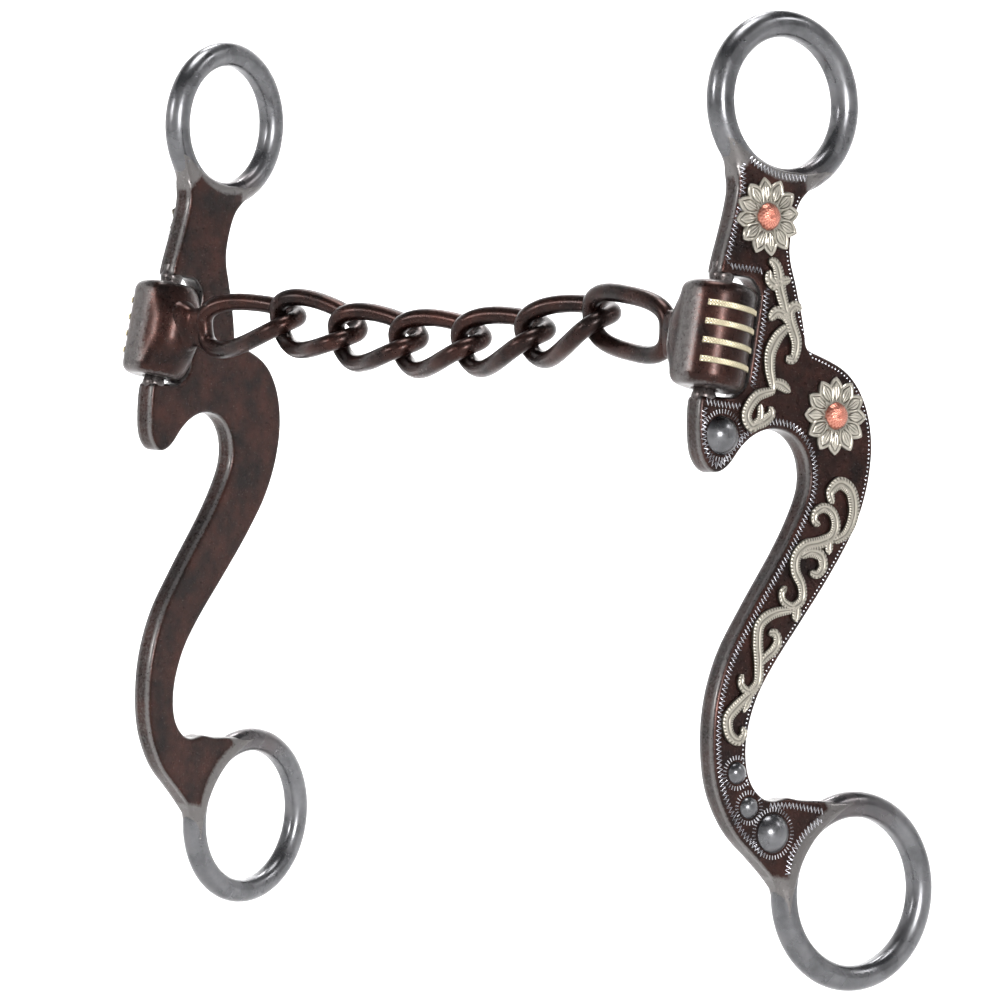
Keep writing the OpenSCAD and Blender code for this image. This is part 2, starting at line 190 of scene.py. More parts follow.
def spline(points, steps=12):
    """Catmull-Rom curve: each span is the cubic through its ends with slopes along their neighbours."""
    p = np.asarray(points, float)
    p = np.concatenate([p[:1], p, p[-1:]])
    a, b, c, d = (q[:, None] for q in (p[:-3], p[1:-2], p[2:-1], p[3:]))
    t = (np.arange(steps) / steps)[None, :, None]
    q = (2 * b + (c - a) * t + (2 * a - 5 * b + 4 * c - d) * t**2 + (3 * b - a - 3 * c + d) * t**3) / 2
    return np.concatenate([q.reshape(-1, p.shape[1]), p[-1:]])


def evenly(line, step, closed=False):
    """The same line with points a fixed step apart along its length."""
    p = np.concatenate([line, line[:1]]) if closed else np.asarray(line, float)
    run = np.concatenate([[0], np.cumsum(np.linalg.norm(np.diff(p, axis=0), axis=1))])
    count = max(int(round(run[-1] / step)), 2)
    at = np.linspace(0, run[-1], count + 1)
    q = np.stack([np.interp(at, run, p[:, k]) for k in range(p.shape[1])], -1)
    return q[:-1] if closed else q


def left_of(line, closed=False):
    """Unit vectors square to a flat line, on its left."""
    if closed:
        d = np.roll(line, -1, 0) - np.roll(line, 1, 0)
    else:
        d = np.gradient(line, axis=0)
    d /= np.linalg.norm(d, axis=1)[:, None]
    return np.stack([-d[:, 1], d[:, 0]], -1)


def inset(points, by):
    """A smooth edge curve moved sideways to its right by a fixed distance."""
    line = evenly(spline(points), 0.4)
    return line - by * left_of(line)


def skin(rings, closed=False):
    """Surface over a stack of rings: point k of ring i joins point k+1 and ring i+1.
    An open stack has a flat cap at each end."""
    n, m = rings.shape[:2]
    i = np.arange(n if closed else n - 1)[:, None]
    k = np.arange(m)[None, :]
    j, l = (i + 1) % n, (k + 1) % m
    quads = np.stack(np.broadcast_arrays(i * m + k, i * m + l, j * m + l, j * m + k), -1).reshape(-1, 4)
    caps = [] if closed else [list(range(m))[::-1], list(range((n - 1) * m, n * m))]
    return rings.reshape(-1, 3), quads, caps


def bodies_along(line, normals, section, closed=False):
    """Carries a section along a line in space. Each section point is (across, off) and may change
    from place to place; across runs along the normals and off along their cross with the line."""
    along = (np.roll(line, -1, 0) - np.roll(line, 1, 0)) if closed else np.gradient(line, axis=0)
    along /= np.linalg.norm(along, axis=1)[:, None]
    u = normals - np.sum(normals * along, 1)[:, None] * along
    u /= np.linalg.norm(u, axis=1)[:, None]
    v = np.cross(along, u)
    return line[:, None] + section[..., :1] * u[:, None] + section[..., 1:] * v[:, None]


def circle(count):
    """Points on a unit circle."""
    t = TAU * np.arange(count) / count
    return np.stack([np.cos(t), np.sin(t)], -1)


def turned(profile, count):
    """Surface of revolution about the third axis: each (radius, height) of the profile is a ring."""
    p = np.asarray(profile, float)
    c = circle(count)
    xy = p[:, None, :1] * c[None]
    return np.concatenate([xy, np.broadcast_to(p[:, None, 1:], (len(p), count, 1))], -1)


def volume(verts, quads):
    """Signed volume under a closed surface's quads, from the tetrahedra to the origin."""
    v = verts - verts.mean(0)
    a, b, c = v[quads[:, 0]], v[quads[:, 1]], v[quads[:, 2]]
    total = np.einsum("ij,ij->", a, np.cross(b, c))
    if quads.shape[1] == 4:
        total += np.einsum("ij,ij->", a, np.cross(c, v[quads[:, 3]]))
    return total


def make_piece(name, body, slot, parts, mark="worn", replaces=(), finish=None):
    """Joins closed surfaces into one piece and turns each one's faces outwards.
    A part is (points in metres, faces, caps, marks); marks run from 0 to 1 for the finish to read.
    The finish is the slot's own, unless another is named."""
    points, faces, marks, start = [], [], [], 0
    for verts, quads, caps, shade in parts:
        if volume(verts, quads) < 0:
            quads, caps = quads[:, ::-1], [c[::-1] for c in caps]
        faces += (quads + start).tolist() + [[k + start for k in c] for c in caps]
        points.append(verts)
        marks.append(np.broadcast_to(np.asarray(shade, float), (len(verts),)))
        start += len(verts)
    mesh = bpy.data.meshes.new(name)
    mesh.from_pydata(np.concatenate(points).tolist(), [], faces)
    layer = mesh.attributes.new(mark, "FLOAT", "POINT")
    layer.data.foreach_set("value", np.concatenate(marks).astype(np.float32))
    mesh.polygons.foreach_set("use_smooth", np.ones(len(mesh.polygons), bool))
    mesh.set_sharp_from_angle(angle=math.radians(CREASE))
    mesh.materials.append(finish_for(finish or slot))
    piece = bpy.data.objects.new(name, mesh)
    bpy.context.scene.collection.objects.link(piece)
    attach(piece, body)
    if replaces:
        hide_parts(*replaces)
    return piece


# ---------------------------------------------------------------- the cheek's face

def ring_side(ring, start, end, count=24):
    """Where the plate ends on a ring's bar: an arc from one corner to the other, which dips from the
    bar's outer side at its ends to its inner side in its middle."""
    at = np.array(ring["at"])
    a, b = (math.atan2(*(np.array(q) - at)[::-1]) for q in (start, end))
    b += TAU * round((a - b) / TAU)
    t = np.linspace(0.04, 0.96, count)
    r = ring["r"] + 1.2 - (ring["bar"] + 0.5) * np.sin(math.pi * t) ** 0.5
    angle = a + (b - a) * t
    return at + r[:, None] * np.stack([np.cos(angle), np.sin(angle)], -1)


def cheek_outline(step=0.5):
    """Closed outline of a cheek plate: front edge with the barrel's window let into it, the rein ring's
    arc, back edge, neck and the headstall ring's arc, all softened by a short running average."""
    front = spline(FRONT_EDGE)
    shift, drop = math.tan(math.radians(POST_TILT)), math.tan(math.radians(POST_TILT / 2))
    wide = WINDOW_BACK / math.cos(math.radians(POST_TILT)) / (1 + shift * drop)
    # the window's back edge follows the post, and its top and foot lean half as much
    corners = []
    for level, rows in ((WINDOW_TOP, front[:76]), (-WINDOW_FOOT, front[60:120])):
        on_axis = POST_BACK + shift * level
        edge = np.array([on_axis, level])
        for _ in range(3):
            edge[0] = np.interp(-edge[1], -rows[:, 1], rows[:, 0])
            edge[1] = level - drop * (edge[0] - on_axis)
        # the back corner is cut off square to its bisector, close to the barrel's rounded shoulder
        corner = np.array([on_axis + wide, level - drop * wide])
        upward = np.array([shift, 1]) * -math.copysign(CORNER_CUT, level)
        corners += [edge, corner - CORNER_CUT * np.array([1, -drop]), corner + upward]
    line = np.concatenate([
        front[front[:, 1] > corners[0][1] + 0.3], [corners[k] for k in (0, 1, 2, 5, 4, 3)],
        front[front[:, 1] < corners[3][1] - 0.3],
        ring_side(REIN, FRONT_EDGE[-1], BACK_EDGE[0]),
        spline(BACK_EDGE), spline(NECK_BACK)[1:],
        ring_side(HEADSTALL, NECK_BACK[-1], FRONT_EDGE[0]),
    ])
    line = evenly(line, step, closed=True)
    for _ in range(3):
        line = (np.roll(line, 1, 0) + 2 * line + np.roll(line, -1, 0)) / 4
    return evenly(line, step, closed=True)


def from_ring(points, ring):
    """Distances of points from a ring's middle."""
    return np.linalg.norm(np.asarray(points, float)[..., :2] - np.array(ring["at"]), axis=-1)


def web_of(points, ring, wider=0, earlier=0):
    """How fully the plate stands against a ring: 1 in the middle of the join, 0 past its corners. The
    corners' reach can be made wider (mm) and can start earlier (degrees)."""
    d = np.asarray(points, float)[..., :2] - np.array(ring["at"])
    turn = np.degrees(np.arctan2(d[..., 1], d[..., 0])) - ring["toward"]
    turn = np.abs((turn + 180) % 360 - 180)
    near = 1 - smooth(np.linalg.norm(d, axis=-1), ring["r"] + 3.4, ring["r"] + 5 + wider / 4)
    return 1 - near * smooth(turn, 26 - earlier, 44)


def face_height(points):
    """Height of the cheek's face above its middle plane. It is the plate's half thickness, blends into
    the round of a ring's bar, and thins out along the bar's side past the corners of the join."""
    high = np.full(np.shape(points)[:-1], PLATE_HALF)
    for ring in (HEADSTALL, REIN):
        out = np.maximum(from_ring(points, ring) - ring["r"], 0)
        bar = np.sqrt(np.maximum(ring["bar"] ** 2 - out**2, 0.16))
        blend = np.log(np.exp(6 * (bar - PLATE_HALF)) + 1) / 6
        web = web_of(points, ring)
        high = np.where(out < 6, web * (high + blend) + (1 - web) * bar + 0.02 * (out < 3), high)
    return high


def inside(points, line):
    """Even-odd test: how many edges of the outline lie to a point's right."""
    x, y = points[:, :1], points[:, 1:]
    a, b = line, np.roll(line, -1, 0)
    spans = (a[:, 1] > y) != (b[:, 1] > y)
    rise = np.where(np.abs(b[:, 1] - a[:, 1]) < 1e-9, 1e-9, b[:, 1] - a[:, 1])
    cross = a[:, 0] + (y - a[:, 1]) / rise * (b[:, 0] - a[:, 0])
    return (np.sum(spans & (x < cross), 1) % 2) == 1


def cheek_plate(edge_r):
    """A plate with rounded edges: rows of points step in from the outline on a quarter circle, a grid
    fills the middle, and both faces and the edge wall share them."""
    line = cheek_outline()
    n = len(line)
    inward = left_of(line, closed=True)
    if not inside(line[:1] + 0.3 * inward[:1], line)[0]:
        inward = -inward
    turn = np.radians([0, 16, 34, 54, 74, 90])
    depth = edge_r * (1 - np.cos(turn))
    rows = (line[None] + depth[:, None, None] * inward[None]).reshape(-1, 2)
    low, high = line.min(0), line.max(0)
    gx, gy = np.meshgrid(np.arange(low[0], high[0], 0.7), np.arange(low[1], high[1], 0.7))
    grid = np.stack([gx, gy], -1).reshape(-1, 2)
    grid = grid[inside(grid, line)]
    far = np.min(np.linalg.norm(grid[:, None] - line[None], axis=-1), 1)
    grid, far = grid[far > edge_r + 0.35], far[far > edge_r + 0.35]
    flat = np.concatenate([rows, grid])
    deep = np.concatenate([np.repeat(depth, n), far])
    loop = [(k, (k + 1) % n) for k in range(n)]
    made, _, tris, origin, _, _ = delaunay_2d_cdt([Vector(p) for p in flat.tolist()], loop, [], 1, 1e-6)
    source = np.array([o[0] for o in origin])
    flat, deep = flat[source], deep[source]
    tris = np.array(tris)
    back_to = np.full(n, -1)
    rim = source < n
    back_to[source[rim]] = np.nonzero(rim)[0]
    drop = edge_r - np.sqrt(np.maximum(edge_r**2 - np.maximum(edge_r - deep, 0) ** 2, 0))
    out = face_height(flat) - drop
    bare = np.zeros(len(flat))
    for ring in (HEADSTALL, REIN):
        rubbed = 1 - smooth(from_ring(flat, ring), ring["bare_inside"], ring["bare_inside"] + 1.6)
        bare = np.maximum(bare, np.maximum(rubbed, smooth(1 - web_of(flat, ring, 8, 6), 0.02, 0.4)))
    # the thin band along each face's rounded edge is steel rubbed bare, and its grey also serves as a painted
    # highlight along the arris
    worn = np.maximum(0.75 * np.exp(-(deep / (0.4 * edge_r)) ** 2), bare)
    m = len(flat)
    faces = [np.column_stack([out, flat]), np.column_stack([-out, flat])]
    levels = np.array([0.55, 0.0, -0.55])
    edge = np.stack([np.column_stack([s * out[back_to], flat[back_to]]) for s in levels])
    verts = np.concatenate([*faces, edge.reshape(-1, 3)])
    wall = [back_to, *(2 * m + k * n + np.arange(n) for k in range(3)), m + back_to]
    quads = [np.stack([a, np.roll(a, -1), np.roll(b, -1), b], -1) for a, b in zip(wall[:-1], wall[1:])]
    quads = np.concatenate(quads)
    walled = np.maximum(0.36, bare[back_to])
    marks = np.concatenate([worn, worn, np.tile(walled, 3)])
    # the faces' triangles and the wall's quads must turn the same way round
    up = np.cross(flat[tris[0, 1]] - flat[tris[0, 0]], flat[tris[0, 2]] - flat[tris[0, 0]]) > 0
    first, second = (tris, tris[:, ::-1]) if up else (tris[:, ::-1], tris)
    area = np.sum(line[:, 0] * np.roll(line[:, 1], -1) - np.roll(line[:, 0], -1) * line[:, 1])
    if area > 0:
        quads = quads[:, ::-1]
    return verts, quads, [*first.tolist(), *(second + m).tolist()], marks


def ring_bar(ring, around=144, section=28):
    """Torus whose section is a circle with its inner side worn flat and softened."""
    t = TAU * np.arange(section) / section
    worn = math.sqrt(ring["bar"] ** 2 - LAND_HALF**2)
    across = np.maximum(ring["bar"] * np.cos(t), -worn)
    off = ring["bar"] * np.sin(t)
    a = TAU * np.arange(around) / around
    r = np.broadcast_to(ring["r"] + across, (around, section))
    rings = np.stack([np.broadcast_to(off, r.shape), ring["at"][0] + r * np.cos(a)[:, None],
                      ring["at"][1] + r * np.sin(a)[:, None]], -1)
    stain = np.repeat(smooth(np.abs(np.cos(t)), 0.55, 1.0)[None] * 0.3, around, 0)
    toward = smooth(-np.sign(ring["at"][1]) * np.sin(a), 0.55, 1.0)[:, None]
    return *skin(rings, closed=True), np.maximum(stain, 0.7 * toward).reshape(-1)


def post():
    """Round post with a small flare where it meets the plate at each end."""
    z = np.linspace(-11, 12, 47)
    flare = np.exp(-((z + WINDOW_FOOT + 0.4) / 0.6) ** 2) + np.exp(-((z - WINDOW_TOP - 0.2) / 0.6) ** 2)
    return turned(np.column_stack([POST_R + 0.3 * flare, z]), 32)


# ---------------------------------------------------------------- barrels and chain

def barrel_profile(sizes):
    """A barrel's outline: a straight wall, and at each end a rounded shoulder, a flat and the bore's lip."""
    r, half, round_r = BARREL_R, BARREL_HALF, sizes.shoulder
    t = np.linspace(0, math.pi / 2, 8)
    shoulder = np.column_stack([r - round_r + round_r * np.cos(t), half - round_r + round_r * np.sin(t)])
    wall = np.column_stack([np.full(9, r), np.linspace(0, half - round_r, 10)[:-1]])
    lip = 0.3
    end = np.array([[r - round_r - 0.8, half], [BORE_R + lip, half], [BORE_R, half - lip]])
    upper = np.concatenate([wall, shoulder, end])
    lower = upper[:0:-1] * (1, -1)
    bore = np.column_stack([np.full(5, BORE_R), np.linspace(half - lip, lip - half, 7)[1:-1]])
    return np.concatenate([lower, upper, bore])


def barrel_part(side, sizes):
    """The barrel: swollen on the mouth side at half height where the collar leaves it, drawn in over its
    ends there, and rubbed to a soft flat along its front."""
    rings = turned(barrel_profile(sizes), 120)
    radius = np.linalg.norm(rings[..., :2], axis=-1)
    angle = np.arctan2(rings[..., 1], rings[..., 0])
    level = np.abs(rings[..., 2])
    outer = radius > 2.5
    # the swelling stays narrow behind the collar, where the cheek's window comes round to it
    mouth = smooth(-np.cos(angle), np.where(angle > 0, 0.8, 0.1), 1.0)
    swell = 0.24 * mouth**1.3 * (1 - smooth(level, 1.5, 7.4))
    shrink = 0.17 * smooth(-np.cos(angle + 0.25), 0.1, 0.75) * smooth(level, 4.2, 8.6)
    front = np.exp(-(((angle + math.radians(84)) / math.radians(24)) ** 2) ** 1.5)
    rings[..., :2] *= (1 + (swell - shrink - 0.02 * front) * outer)[..., None]
    worn = np.maximum(0.62 * front, 0.5 * smooth(level, 7.4, 8.4) * (radius > 4))
    worn = np.where(outer, worn, 0.2)
    verts, quads, caps = skin(rings, closed=True)
    return placed(on_post(verts), side), quads, caps, worn.reshape(-1)


def collar_part(side):
    """Neck from the barrel to its end loop: a rounded bar whose height and thickness change along it,
    wide at the barrel, waisted, and as wide as the loop at the weld."""
    x = np.linspace(-WELD_REACH - 0.5, -3.6, 44)
    c = circle(40)
    round_off = np.sign(c) * np.abs(c) ** 0.8
    toward = smooth(x, -9.2, -5.4)
    away = smooth(-x, 9.0, 11.2)
    tall = 3.5 + 1.9 * toward**1.5 + 0.5 * away
    thick = 1.65 + 1.9 * toward**1.5 - 0.15 * away
    rings = np.stack([
        np.broadcast_to(x[:, None], (len(x), len(c))),
        round_off[None, :, 0] * thick[:, None],
        LOOP_UP * (1 - 0.5 * toward)[:, None] + round_off[None, :, 1] * tall[:, None],
    ], -1)
    verts, quads, caps = skin(rings)
    return placed(verts, side), quads, caps, np.repeat(0.3 * toward, len(c))


def oval(a, b, h, count=132):
    """Centre line of a link from x = a to x = b: a superellipse of half-width h, evenly spaced. Each
    point is (x, offset)."""
    t = TAU * np.arange(2000) / 2000
    c, s = np.cos(t), np.sin(t)
    x = (a + b) / 2 - (b - a) / 2 * np.sign(c) * np.abs(c) ** (2 / LINK_SQUARE)
    line = np.column_stack([x, h * np.sign(s) * np.abs(s) ** (2 / LINK_SQUARE)])
    run = evenly(line, 0.1, closed=True)
    return run[(np.arange(count) * len(run)) // count]


def wire_link(a, b, start, end, sides=22):
    """A twisted oval link: the oval's plane turns evenly from start to end degrees between x = a and
    x = b, and a round wire follows it."""
    flat = oval(a, b, LINK_HALF)
    angle = np.radians(start + (end - start) * (flat[:, 0] - a) / (b - a))
    line = np.column_stack([flat[:, 0], flat[:, 1] * np.cos(angle), flat[:, 1] * np.sin(angle)])
    normals = np.column_stack([np.zeros(len(line)), -np.sin(angle), np.cos(angle)])
    section = np.broadcast_to(WIRE_R * circle(sides), (len(line), sides, 2))
    rings = bodies_along(line, normals, section, closed=True)
    bows = np.maximum(smooth(-flat[:, 0], -a - 1.6, -a), smooth(flat[:, 0], b - 1.6, b))
    return *skin(rings, closed=True), np.repeat(0.1 + 0.16 * bows, sides)


def along_loop(reach, rise):
    """Point of an end loop's middle line: it rises from the weld towards its free end."""
    past, turn = reach - WELD_REACH, math.radians(rise)
    return [-WELD_REACH - past * math.cos(turn), 0, LOOP_UP + past * math.sin(turn)]


def chain_points():
    """Pivots of the chain from the right end loop (5) to the left one (0), on a line that hangs in
    equal steps of slope between the two ends."""
    reach = LOOP_ARM + LINKED / 2
    right = placed(along_loop(reach, LOOPS["right"]["rise"]), "right") / MM
    left = placed(along_loop(reach - LINKED, LOOPS["left"]["rise"]), "left") / MM
    k = math.radians(SAG_STEP)
    span = (left - right)[[0, 2]]
    first = math.atan2(span[1], span[0])
    pitch = math.hypot(*span) / (1 + 2 * math.cos(k) + 2 * math.cos(2 * k))
    slopes = {i: first + (3 - i) * k for i in range(1, 6)}
    pivots = {5: right[[0, 2]]}
    for i in range(5, 0, -1):
        pivots[i - 1] = pivots[i] + pitch * np.array([math.cos(slopes[i]), math.sin(slopes[i])])
    return pivots, slopes, pitch, (right[1] + left[1]) / 2


# ---------------------------------------------------------------- trim

def laid(rings, side, marks):
    """The skin over rings of a cheek's own points, set in the bit's frame with its marks."""
    verts, quads, caps = skin(rings)
    return placed(verts, side), quads, caps, marks


def sheet_part(top, cut, side):
    """A raised sheet: its rows' two ends go straight down into the plate, where the cut is full."""
    foot = top[:, [-1, 0]].copy()
    foot[..., 0] = PLATE_HALF - SUNK
    cut = np.concatenate([cut, np.ones((len(cut), 2))], 1)
    return laid(np.concatenate([top, foot], 1), side, cut.reshape(-1))


def ribbon_part(points, width, side):
    """Scroll ribbon: a flat strip with a shallow groove down its middle, narrower towards its ends and
    rounded off there, with fine slanted nicks cut along both edges at a fixed spacing."""
    pitch, across, step = 0.5, 17, 0.083
    line = evenly(spline(points), step)
    run = np.arange(len(line)) * step
    length = run[-1]
    w = width * (0.33 + 0.25 * np.sin(math.pi * (run / length) ** 0.85))
    blunt = np.minimum(run, length - run) / 0.8
    w = w * np.sqrt(np.clip(1 - (1 - np.clip(blunt, 0, 1)) ** 2, 0.02, 1))
    v = np.linspace(-1, 1, across)
    crown = 0.5 + 0.22 * (1 - np.abs(v) ** 4) - 0.13 * np.exp(-((v / 0.2) ** 2))
    nick = 0.5 - 0.5 * np.cos(TAU * (run[:, None] / pitch + 0.4 * np.abs(v)[None]))
    shoulder = smooth(np.abs(v), 0.42, 0.62) * (1 - smooth(np.abs(v), 0.9, 1.0) * 0.6)
    high = crown[None] * (0.8 + 0.2 * np.clip(blunt, 0, 1))[:, None] - 0.1 * nick**3 * shoulder[None]
    normal = left_of(line)
    flat = line[:, None] + (w[:, None] * v[None])[..., None] * normal[:, None]
    top = np.concatenate([(PLATE_HALF + high)[..., None], flat], -1)
    lines = 0.85 * nick**2 * shoulder[None] + 0.9 * smooth(np.abs(v), 0.9, 1)[None]
    lines = lines + 0.5 * np.exp(-((v / 0.14) ** 2))[None]
    # the 0.36 darkens each ribbon's whole face as painted shade, so that the flat ribbons facing the lamps
    # come out no brighter than the petals of the same silver
    return sheet_part(top, np.clip(0.36 + lines, 0, 1), side)


def petal_part(at, angle, layer, side):
    """A petal: a broad leaf, widest past its middle, that comes to a blunt point. It is dished between
    a raised rim and a raised lens, and two long cuts run beside a vein."""
    u = np.concatenate([np.linspace(0, 0.9, 30), np.linspace(0.91, 1, 10)])
    v = np.linspace(-1, 1, 25)
    foot_r = 1.5
    r = foot_r + (PETAL_REACH - foot_r) * u
    past = np.clip((u - 0.58) / 0.42, 0, 1)
    half = 1.5 * (0.42 + 0.58 * smooth(u, 0, 0.62)) * (1 - past**1.9) ** 0.8
    half = np.maximum(half, 0.03)
    lens = 0.62 * np.sin(math.pi * np.clip((u - 0.15) / 0.72, 0, 1)) ** 0.7
    gap = (np.abs(v)[None] - lens[:, None]) / 0.12
    long = (smooth(u, 0.18, 0.28) * (1 - smooth(u, 0.84, 0.92)))[:, None]
    groove = np.exp(-gap**2) * long
    vein = np.exp(-(((np.abs(v) - 0.16) / 0.08) ** 2))[None] * long * (1 - smooth(u, 0.6, 0.8))[:, None]
    rim = 1 - 0.5 * smooth(np.abs(v), 0.86, 1.0)
    swell = np.sin(math.pi * u**0.8)[:, None] * (0.1 + 0.2 * (1 - (np.abs(v) - 0.25) ** 2))[None]
    high = (0.4 + 0.1 * layer + swell) * rim[None]
    high = high - 0.2 * groove - 0.12 * vein
    along, across = r[:, None], half[:, None] * v[None]
    c, s = math.cos(angle), math.sin(angle)
    back = at[0] + along * c - across * s
    up = at[1] + along * s + across * c
    top = np.stack([PLATE_HALF + high, back, up], -1)
    edge = smooth(np.abs(v), 0.88, 1.0)[None] * np.ones((len(u), 1))
    root = 1 - smooth(u, 0.12, 0.42)
    return sheet_part(top, np.clip(groove + 0.85 * vein + 0.8 * edge + 0.75 * root[:, None], 0, 1), side)


def dome_part(at, radius, rise, foot, side, stipple=0.0, facet=0.0):
    """Cap of a sphere on a short foot. Stipple raises small bumps on spiral rows; facet flattens
    the very top."""
    rows, count = 30, 72
    t = np.linspace(1, 0.02, rows)
    ball = (radius**2 + rise**2) / (2 * rise)
    r = radius * t
    h = np.sqrt(ball**2 - r**2) - (ball - rise)
    h = np.minimum(h, rise * (1 - facet) + 0.15 * facet * h)
    r = np.concatenate([[radius], r])
    rings = turned(np.column_stack([r, np.concatenate([[foot], PLATE_HALF + h])]), count)
    angle = TAU * np.arange(count)[None] / count
    cell = 0.0
    if stipple:
        radial = r[:, None]
        cell = np.sin(radial / 0.36 * math.pi + 3 * angle) * np.sin(18 * angle - radial / 0.5 * math.pi)
        rings[..., 2] += stipple * cell * smooth(radial, 0.2, 0.5)
    local = np.stack([rings[..., 2], at[0] + rings[..., 0], at[1] + rings[..., 1]], -1)
    shade = np.broadcast_to(0.5 - 0.5 * cell, rings.shape[:2]) if stipple else np.zeros(rings.shape[:2])
    shade = np.where(np.arange(rows + 1)[:, None] < 2, 1.0, shade)
    return laid(local, side, shade.reshape(-1))


def cut_line(line, side, half=0.14, rise=0.09):
    """A thin bright ridge with a three-sided section, laid on the cheek's face along a bent line."""
    normal = left_of(line)
    out = face_height(line)
    edge = np.stack([line - half * normal, line, line + half * normal], 1)
    high = np.stack([out - 0.05, out + rise, out - 0.05], 1)
    return laid(np.concatenate([high[..., None], edge], -1), side, 0.0)


def zigzag_part(path, side, half=0.5, period=0.74):
    """A border line that swings to either side of its path, once each way per period."""
    line = evenly(np.asarray(path, float), period / 4)
    normal = left_of(line)
    swing = np.array([0, 1, 0, -1])[np.arange(len(line)) % 4] * half
    return cut_line(line + swing[:, None] * normal, side)


def bead_parts(path, side, pitch=0.72, radius=0.17, rise=0.13):
    """A row of small low beads along a path."""
    spots = evenly(path, pitch)
    out = face_height(spots)
    ring = circle(8)
    rows = np.array([[1.0, -0.05], [0.85, 0.55], [0.4, 0.9]])
    parts = []
    for spot, high in zip(spots, out):
        flat = spot + radius * rows[:, None, :1] * ring[None]
        up = high + rise * rows[:, 1][:, None] * np.ones((1, len(ring)))
        parts.append(laid(np.concatenate([up[..., None], flat], -1), side, 0.0))
    return parts


def ray_parts(at, radius, side, plate, spacing=0.62, gap=0.35):
    """A ring of short bright cuts that point at a stud's middle, left out where the plate ends. A cut
    starts one gap from the stud and is two gaps long."""
    count = int(TAU * (radius + 1) / spacing)
    parts = []
    for a in TAU * np.arange(count) / count:
        way = np.array([math.cos(a), math.sin(a)])
        line = np.array(at) + (radius + gap * np.array([1, 2, 3]))[:, None] * way
        if inside(line[-1:] + gap * way, plate)[0]:
            parts.append(cut_line(line, side, half=0.13))
    return parts


def band_part(level, side, sizes, hatch_gap=0.5, let_in=0.15):
    """A silver strip round the outer side of a barrel, cross-hatched by two sets of slanted cuts."""
    half_arc = math.radians(sizes.band_arc / 2)
    a = np.linspace(-half_arc, half_arc, 110)
    v = np.linspace(-0.5, 0.5, 11)
    s = a * BARREL_R
    slant = v[None] * sizes.band_w
    hatch = np.abs(np.sin(math.pi * (s[:, None] + slant) / hatch_gap)) * np.abs(
        np.sin(math.pi * (s[:, None] - slant) / hatch_gap))
    rim = 1 - smooth(np.abs(v), 0.36, 0.5)[None]
    high = 0.15 + 0.18 * np.sqrt(hatch) * rim
    r = BARREL_R + high
    z = level + v * sizes.band_w
    top = np.stack([r * np.cos(a)[:, None], r * np.sin(a)[:, None], np.broadcast_to(z, r.shape)], -1)
    foot = top[:, [-1, 0]].copy()
    foot[..., 0] = (BARREL_R - let_in) * np.cos(a)[:, None]
    foot[..., 1] = (BARREL_R - let_in) * np.sin(a)[:, None]
    rings = np.concatenate([top, foot], 1)
    cut = np.concatenate([1 - hatch * rim, np.ones((len(a), 2))], 1)
    verts, quads, caps = skin(rings)
    return placed(on_post(verts), side), quads, caps, cut.reshape(-1)


# ---------------------------------------------------------------- finishes

def linear(colour):
    """An sRGB hex colour as linear light, with full alpha."""
    c = np.array([int(colour[k:k + 2], 16) for k in (1, 3, 5)]) / 255
    c = np.where(c <= 0.04045, c / 12.92, ((c + 0.055) / 1.055) ** 2.4)
    return (*c.tolist(), 1.0)


def add(tree, kind, values=None, links=None, **settings):
    """Adds a node: settings are its own properties, values its sockets' numbers and colours, and links
    say which output of which node feeds a socket."""
    made = tree.nodes.new(kind)
    for key, value in settings.items():
        setattr(made, key, value)
    for key, value in (values or {}).items():
        made.inputs[key].default_value = value
    for key, (source, output) in (links or {}).items():
        tree.links.new(source.outputs[output], made.inputs[key])
    return made


def new_finish(name):
    """An empty material, its node tree and the node that gives places on the piece."""
    material = bpy.data.materials.new(name)
    material.use_nodes = True
    tree = material.node_tree
    tree.nodes.clear()
    place = add(tree, "ShaderNodeTexCoord")
    return material, tree, place


def close_finish(tree, colour, rough, bump, metallic, **fixed):
    """Ends a finish in one shader, whose same-all-over numbers are set on its own sockets."""
    values = {"Metallic": metallic, **fixed}
    shader = add(tree, "ShaderNodeBsdfPrincipled", values,
                 {"Base Color": colour, "Roughness": rough, "Normal": (bump, "Normal")})
    add(tree, "ShaderNodeOutputMaterial", links={"Surface": (shader, "BSDF")})


